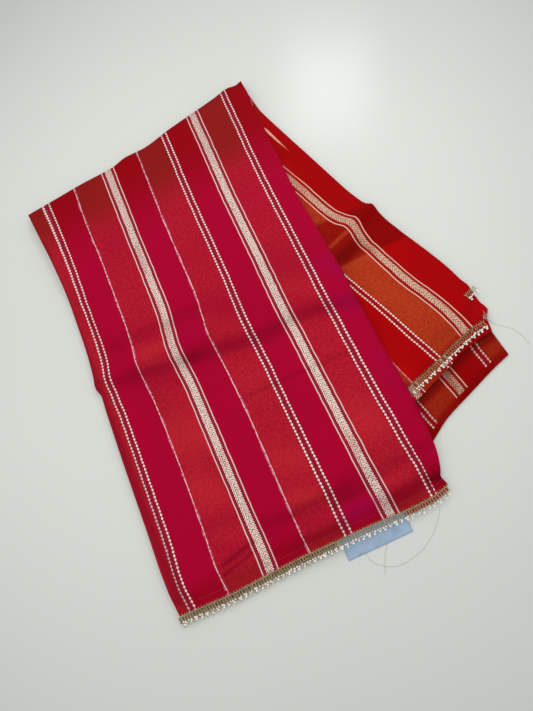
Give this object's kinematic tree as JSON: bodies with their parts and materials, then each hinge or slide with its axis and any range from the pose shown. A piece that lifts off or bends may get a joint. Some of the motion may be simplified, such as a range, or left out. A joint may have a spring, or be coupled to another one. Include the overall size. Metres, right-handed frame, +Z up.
{
  "type": "folded saree",
  "caption": "Silk saree folded flat in two, striped front leaf over a fanned back leaf, with beaded zigzag lace along its edges and a blank label at the hem.",
  "frame": {"origin": "the centre of the part's box, on the surface that it lies on", "axes": "+Z up from the surface, +Y along the front leaf's stripes from the hem to the fold, +X across the stripes to the side where the back leaf fans out"},
  "size_m": [0.4908, 0.655, 0.0151],
  "materials": {
    "front_silk": "shot silk, magenta with red and gold tissue stripes, soft sheen",
    "layer_silk": "shot silk, dark red at the layers' edges",
    "back_silk": "shot silk, red with orange gold tissue stripes, soft sheen",
    "gold_lace": "dull gold thread with pearl beads",
    "label_ribbon": "woven satin ribbon, pale blue, blank"
  },
  "bodies": {
    "root": {"front_leaf": "front_silk", "inner_layers": "layer_silk", "back_leaf": "back_silk", "back_middle_leaf": "back_silk", "back_lower_leaf": "back_silk", "front_lace": "gold_lace", "front_lace_under": "gold_lace", "back_lace": "gold_lace", "back_corner_lace": "gold_lace", "label": "label_ribbon"}
  },
  "joints": []
}
